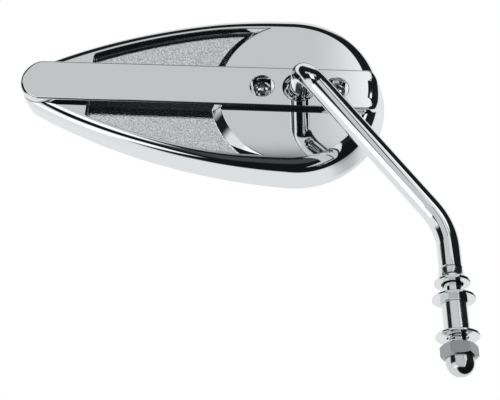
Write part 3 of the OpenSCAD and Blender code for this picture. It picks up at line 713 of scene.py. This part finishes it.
def makeShell():
    s = shellSize
    land, floor = headSize["landZ"], headSize["floorZ"]
    rings = [backRing(headOutline, s["bezel"] - wallShare(s["ledgeUp"]) * headFlare, s["ledgeUp"]),
             backRing(headOutline, s["bezel"] - headFlare, 0.0)]
    for a in np.radians(np.linspace(0, 90, 6)):
        rings.append(backRing(headOutline, s["backEdge"] * (1 - math.sin(a)) - headFlare,
                              s["backEdge"] * (1 - math.cos(a))))
    wallFoot = rings[-1]
    lean = np.arctan2(headFlare, land - headEdge - wallFoot[:, 2])
    rimStart = None
    for f in np.linspace(0, 1, s["rimSteps"]):
        a = (math.pi / 2 - lean) * (1 - f)
        ring = ringAt(headOutline, headEdge * (1 - np.sin(a)), land - headEdge * (1 - np.cos(a)))
        if rimStart is None:
            rimStart = ring
            rings += [wallFoot + (rimStart - wallFoot) * t for t in (0.25, 0.5, 0.75)]
        rings.append(ring)
    shell = loftPiece("castShell", rings)

    # Pocket tool: its foot and its lip are rounded, and the disc's cone is cut out of it
    nearby = (headOutline[:, 0] < s["pocketEnd"]) & (headOutline[:, 1] > 0)
    line = headOutline[nearby]
    flank = ringAt(line, headEdge[nearby] + s["land"], 0.0)
    flank[:, 2] = line[:, 2]
    inner = ringAt(line, headEdge[nearby] + s["land"] + s["pocketCorner"], 0.0)
    cornerX = headSize["tipX"] + s["pocketStart"] + s["pocketCorner"]
    cornerY, meet = (np.interp(-cornerX, -inner[:, 0], values)
                     for values in (inner[:, 1], line[:, 2]))
    flank = flank[line[:, 2] < meet]
    pocketLine = mirrored(np.concatenate([
        flank, arcPoints(cornerX, cornerY, s["pocketCorner"], math.degrees(meet), 180, 12)]))
    steps = np.radians(np.linspace(0, 90, 7))
    rings = [ringAt(pocketLine, s["floorFillet"] * (1 - math.sin(a)),
                    floor + s["floorFillet"] * (1 - math.cos(a))) for a in steps]
    rings += [ringAt(pocketLine, -s["lip"] * (1 - math.cos(a)), land - s["lip"] * (1 - math.sin(a)))
              for a in np.radians(np.linspace(0, 80, 5))]
    rings.append(ringAt(pocketLine, -s["lip"] - 0.4, land + barSize["over"]))
    pocket = loftPiece("pocketTool", rings)
    footX = s["discRadius"] + s["discSlope"] + s["discFoot"] * (math.sqrt(2) - 1)
    lipX = s["discRadius"] - s["discLip"] * (math.sqrt(2) - 1)
    foot = corner((footX, floor + s["discFoot"]), s["discFoot"], -100, -135)
    top = corner((lipX, land - s["discLip"]), s["discLip"], 45, 80)
    skew = math.radians(10)
    cone = [(foot[0][0] + math.cos(skew), floor - 1),
            (foot[0][0] + math.cos(skew), foot[0][1] - math.sin(skew))] + foot + top
    cone += [(top[-1][0] - math.cos(skew) * 2, top[-1][1] + math.sin(skew) * 2),
             (top[-1][0] - math.cos(skew) * 2, land + 2)]
    carve(pocket, turnedPiece("discTool", 0, cone, 240))
    carve(shell, pocket)

    channel = [ringAt(barLine, -s["channelGap"], floor - s["channelDown"]),
               ringAt(barLine, -s["channelGap"], headSize["faceZ"] + 1)]
    carve(shell, loftPiece("channelTool", channel))

    # What the glass hides: the hollow, the bosses, the ball's socket and the screw holes
    ceiling = floor - s["plate"]
    hollow = [ringAt(headOutline, s["wall"], z) for z in (headSize["backZ"] - 1, ceiling)]
    carve(shell, loftPiece("hollowTool", hollow))
    for x, radius, down in s["bosses"]:
        carve(shell, turnedPiece("boss", x, [(radius, down), (radius, ceiling + 0.4)], 64), "UNION")
    levels = np.linspace(-1, 1, 24)[1:-1] * s["socketRadius"]
    ball = list(zip(np.sqrt(s["socketRadius"] ** 2 - levels ** 2), levels))
    carve(shell, turnedPiece("socketTool", 0, ball, 64))
    for x in (-barSize["screwAt"], barSize["screwAt"]):
        carve(shell, turnedPiece("tappedTool", x, [(s["tappedRadius"], s["tappedEnd"]),
                                                   (s["tappedRadius"], floor + 1)], 32))
    tipHole = [(s["tipHoleRadius"], ceiling - 1), (s["tipHoleRadius"], floor + 1)]
    carve(shell, turnedPiece("tipTool", headSize["tipX"] + barSize["tipScrewIn"], tipHole, 32))
    finishPiece(shell, "housing", castMetal)
    return shell


# The convex glass: z = -proud + (x^2 + y^2) / 2R about its own middle, with a ground edge, in mm
glassSize = {"curve": 1400.0, "thick": 2.0, "gap": 0.2, "proud": 0.4, "ground": 0.35, "steps": 40}


def makeGlass():
    s = glassSize
    middle = (headSize["tipX"] + headSize["roundX"]) / 2

    def plate(inset, t, rise):
        edge = ringAt(headOutline, 0.0, 0.0)
        level = rise + ((edge[:, 0] - middle) ** 2 + edge[:, 1] ** 2) / (2 * s["curve"])
        inward = shellSize["bezel"] + s["gap"] + inset - wallShare(level) * headFlare
        ring = ringAt(headOutline, inward, 0.0)
        ring[:, 0] = middle + (ring[:, 0] - middle) * t
        ring[:, 1] *= t
        ring[:, 2] = rise + ((ring[:, 0] - middle) ** 2 + ring[:, 1] ** 2) / (2 * s["curve"])
        return ring

    back = s["thick"] - s["proud"]
    spread = np.linspace(0.02, 1, s["steps"])
    rings = [plate(s["ground"], t, -s["proud"]) for t in spread]
    rings += [plate(0.0, 1.0, s["ground"] - s["proud"]), plate(0.0, 1.0, back)]
    rings += [plate(0.0, t, back) for t in spread[-2::-4]]
    cosine, sine = math.cos(backTilt), math.sin(backTilt)
    placed = []
    for ring in rings:
        fromEnd = ring[:, 0] - headSize["roundX"]
        x = headSize["roundX"] + fromEnd * cosine + ring[:, 2] * sine
        z = headSize["backZ"] + ring[:, 2] * cosine - fromEnd * sine
        placed.append(np.stack([x, ring[:, 1], z], axis=1))
    glass = loftPiece("mirrorGlass", placed)
    finishPiece(glass, "mirror_glass", mirrorMaterial)
    return glass


for name, make in (("bar", makeBar), ("shell", makeShell), ("glass", makeGlass)):
    made = make()
    print(name, "made with", len(made.data.polygons), "faces")

# The camera stands below and in front of the mirror and looks up, as in the photograph
cameraLook = {
    "position": (-67.42, -312.02, -150.48),  # mm
    "right": (0.99914, 0.02999, 0.02865),
    "up": (-0.00894, -0.51888, 0.85480),
    "lens": 61.47,  # mm, on a 36 mm sensor
}
cameraData = bpy.data.cameras.new("photoCamera")
cameraData.lens = cameraLook["lens"]
cameraData.sensor_width = 36
cameraData.clip_start = 0.01
camera = bpy.data.objects.new("photoCamera", cameraData)
bpy.context.scene.collection.objects.link(camera)
right = Vector(cameraLook["right"]).normalized()
up = (Vector(cameraLook["up"]) - Vector(cameraLook["up"]).dot(right) * right).normalized()
turned = Matrix((right, up, right.cross(up))).transposed().to_4x4()
camera.matrix_world = Matrix.Translation(Vector(cameraLook["position"]) * mm) @ turned
bpy.context.scene.camera = camera
print("camera placed")

# The studio as the metal sees it, as soft-edged areas: either a range of azimuth and elevation in
# degrees, or a round area within so many degrees of a direction. Azimuth 0 is towards the camera
# and grows to the right. Later areas lie over earlier ones.
studioLook = {
    "surround": 0.97,
    "areas": {
        "sideLight": {"towards": (170, 50), "within": 25, "soft": 8, "level": 0.88},
        "backShade": {"towards": (178, 3), "within": 10, "soft": 10, "level": 0.55},
        "darkRoom": {"towards": (42, -23), "within": 82, "soft": 4, "level": 0.008},
        "darkFront": {"azimuth": (-92, 112), "elevation": (-8, 71), "soft": 5, "level": 0.012},
        "keyPanel": {"azimuth": (-52, 10), "elevation": (19.7, 29.8), "soft": 0.8, "level": 0.72},
        "keyBright": {"azimuth": (4.2, 12), "elevation": (19.7, 29.8), "soft": 3.2, "level": 1.25},
        "keyEnd": {"azimuth": (6.6, 22), "elevation": (5, 40), "soft": 0.8, "level": 0.012},
        "brightStrip": {"azimuth": (24, 40), "elevation": (3, 22.5), "soft": 1, "level": 1.35},
        "leftCard": {"azimuth": (-34, -12.5), "elevation": (-4, 19.7), "soft": 1.5, "level": 1.35},
        "sideCard": {"azimuth": (-88, -28), "elevation": (-48, -30), "soft": 3, "level": 1.35},
        "lowPanel": {"azimuth": (-16, 20), "elevation": (-34, 0), "soft": 5, "level": 0.07},
    },
    "roomLight": 0.78,    # what matt surfaces get from all round
    "shade": "#000506",   # the cool tone left in the darkest areas
}


# How far a direction is inside an area, from 0 to 1 across its soft edges
def areaShare(tree, area, towards, azimuth, elevation):
    if "within" in area:
        turn, rise = (math.radians(angle) for angle in area["towards"])
        middle = (math.sin(turn) * math.cos(rise), -math.cos(turn) * math.cos(rise), math.sin(rise))
        dot = addNode(tree, "ShaderNodeVectorMath", {0: towards, 1: middle},
                      operation="DOT_PRODUCT")
        apart = addNode(tree, "ShaderNodeMath", {0: dot.outputs["Value"]}, operation="ARCCOSINE")
        away = addNode(tree, "ShaderNodeMath", {0: apart.outputs[0]}, operation="DEGREES")
        edges = ((away.outputs[0], area["within"], -1),)
    else:
        edges = tuple((angle, edge, sign) for angle, limits in
                      ((azimuth, area["azimuth"]), (elevation, area["elevation"]))
                      for edge, sign in zip(limits, (1, -1)))
    inside = None
    for angle, edge, sign in edges:
        share = addNode(tree, "ShaderNodeMapRange",
                        {"Value": angle, "From Min": edge - sign * area["soft"],
                         "From Max": edge + sign * area["soft"]},
                        interpolation_type="SMOOTHSTEP").outputs[0]
        inside = share if inside is None else addNode(
            tree, "ShaderNodeMath", {0: inside, 1: share}, operation="MULTIPLY").outputs[0]
    return inside


def buildStudio():
    world = bpy.data.worlds.new("studio")
    bpy.context.scene.world = world
    world.use_nodes = True
    tree = world.node_tree
    tree.nodes.clear()
    towards = addNode(tree, "ShaderNodeTexCoord").outputs["Generated"]
    axes = addNode(tree, "ShaderNodeSeparateXYZ", {0: towards}).outputs
    front = addNode(tree, "ShaderNodeMath", {0: axes["Y"], 1: -1.0}, operation="MULTIPLY")
    turn = addNode(tree, "ShaderNodeMath", {0: axes["X"], 1: front.outputs[0]}, operation="ARCTAN2")
    azimuth = addNode(tree, "ShaderNodeMath", {0: turn.outputs[0]}, operation="DEGREES")
    rise = addNode(tree, "ShaderNodeMath", {0: axes["Z"]}, operation="ARCSINE")
    elevation = addNode(tree, "ShaderNodeMath", {0: rise.outputs[0]}, operation="DEGREES")
    level = addNode(tree, "ShaderNodeValue").outputs[0]
    level.default_value = studioLook["surround"]
    for area in studioLook["areas"].values():
        inside = areaShare(tree, area, towards, azimuth.outputs[0], elevation.outputs[0])
        level = addNode(tree, "ShaderNodeMix", {"Factor": inside, 2: level, 3: area["level"]},
                        data_type="FLOAT").outputs[0]
    seen = addNode(tree, "ShaderNodeCombineColor", {0: level, 1: level, 2: level}).outputs[0]
    cool = addNode(tree, "ShaderNodeMix",
                   {"Factor": 1.0, 6: seen, 7: hexColour(studioLook["shade"])},
                   data_type="RGBA", blend_type="ADD").outputs[2]
    ray = addNode(tree, "ShaderNodeLightPath").outputs
    glossy = addNode(tree, "ShaderNodeBackground", {"Color": cool})
    room = addNode(tree, "ShaderNodeBackground",
                   {"Color": (1, 1, 1, 1), "Strength": studioLook["roomLight"]})
    white = addNode(tree, "ShaderNodeBackground", {"Color": (1, 1, 1, 1)})
    metal = addNode(tree, "ShaderNodeMixShader", {0: ray["Is Glossy Ray"], 1: room.outputs[0],
                                                  2: glossy.outputs[0]})
    through = addNode(tree, "ShaderNodeMath",
                      {0: ray["Is Camera Ray"], 1: ray["Is Transmission Ray"]}, operation="MAXIMUM")
    final = addNode(tree, "ShaderNodeMixShader", {0: through.outputs[0], 1: metal.outputs[0],
                                                  2: white.outputs[0]})
    addNode(tree, "ShaderNodeOutputWorld", {"Surface": final.outputs[0]})


buildStudio()

# Two narrow cards hang before the rod and follow its bend: a grey one, whose reflection is the
# rod's broad middle band, and a bright one beside it. Only the metal sees them. Each row has a
# point in mm, the way across there and the two edges to either side of the point.
slant, upright = (0.786, 0, 0.618), (1, 0, 0)
rodCards = {
    "greyCard": {"level": 0.72, "rows": (
        ((-52, -45, 82), slant, (-7, 5)), ((-8, -25, 26), slant, (-15, 5)),
        ((0, -24, 12), upright, (-24, 6)), ((0, -24, -60), upright, (-24, 6)))},
    "brightCard": {"level": 0.95, "rows": (
        ((-52, -45, 82), slant, (8, 18)), ((-8, -25, 26), slant, (7, 15)),
        ((0, -24, 12), upright, (7, 14)), ((0, -24, -60), upright, (7, 14)))},
}


def hangCard(name, look):
    points = [tuple(mm * (place + way * edge) for place, way in zip(middle, across))
              for middle, across, edges in look["rows"] for edge in edges]
    mesh = bpy.data.meshes.new(name)
    mesh.from_pydata(points, [], [(2 * i, 2 * i + 1, 2 * i + 3, 2 * i + 2)
                                  for i in range(len(look["rows"]) - 1)])
    card = bpy.data.objects.new(name, mesh)
    bpy.context.scene.collection.objects.link(card)
    material = bpy.data.materials.new(name)
    material.use_nodes = True
    material.node_tree.nodes.clear()
    glow = addNode(material.node_tree, "ShaderNodeEmission", {"Strength": look["level"]})
    addNode(material.node_tree, "ShaderNodeOutputMaterial", {"Surface": glow.outputs[0]})
    mesh.materials.append(material)
    card.visible_camera = False
    card.visible_diffuse = False
    card.visible_shadow = False
    card.visible_transmission = False


for name, look in rodCards.items():
    hangCard(name, look)

# A large soft sun gives the floor its shadow. The metal sees the studio's areas instead of it.
sunData = bpy.data.lights.new("softSun", "SUN")
sunData.energy = 0.8
sunData.angle = math.radians(25)
sun = bpy.data.objects.new("softSun", sunData)
sun.rotation_euler = (math.radians(28), math.radians(-18), 0)
sun.visible_glossy = False
bpy.context.scene.collection.objects.link(sun)

floorLook = {"level": -0.42, "half": 4.0, "colour": "#F2F3F3"}
floorMesh = bpy.data.meshes.new("floor")
side = floorLook["half"]
floorMesh.from_pydata([(-side, -side, floorLook["level"]), (side, -side, floorLook["level"]),
                       (side, side, floorLook["level"]), (-side, side, floorLook["level"])],
                      [], [(0, 1, 2, 3)])
floor = bpy.data.objects.new("floor", floorMesh)
floor.visible_glossy = False
bpy.context.scene.collection.objects.link(floor)
floorMesh.materials.append(newMaterial("paperFloor", floorLook["colour"], 0.0, 0.9)[0])
print("studio built")

bpy.context.scene.view_settings.view_transform = "Standard"
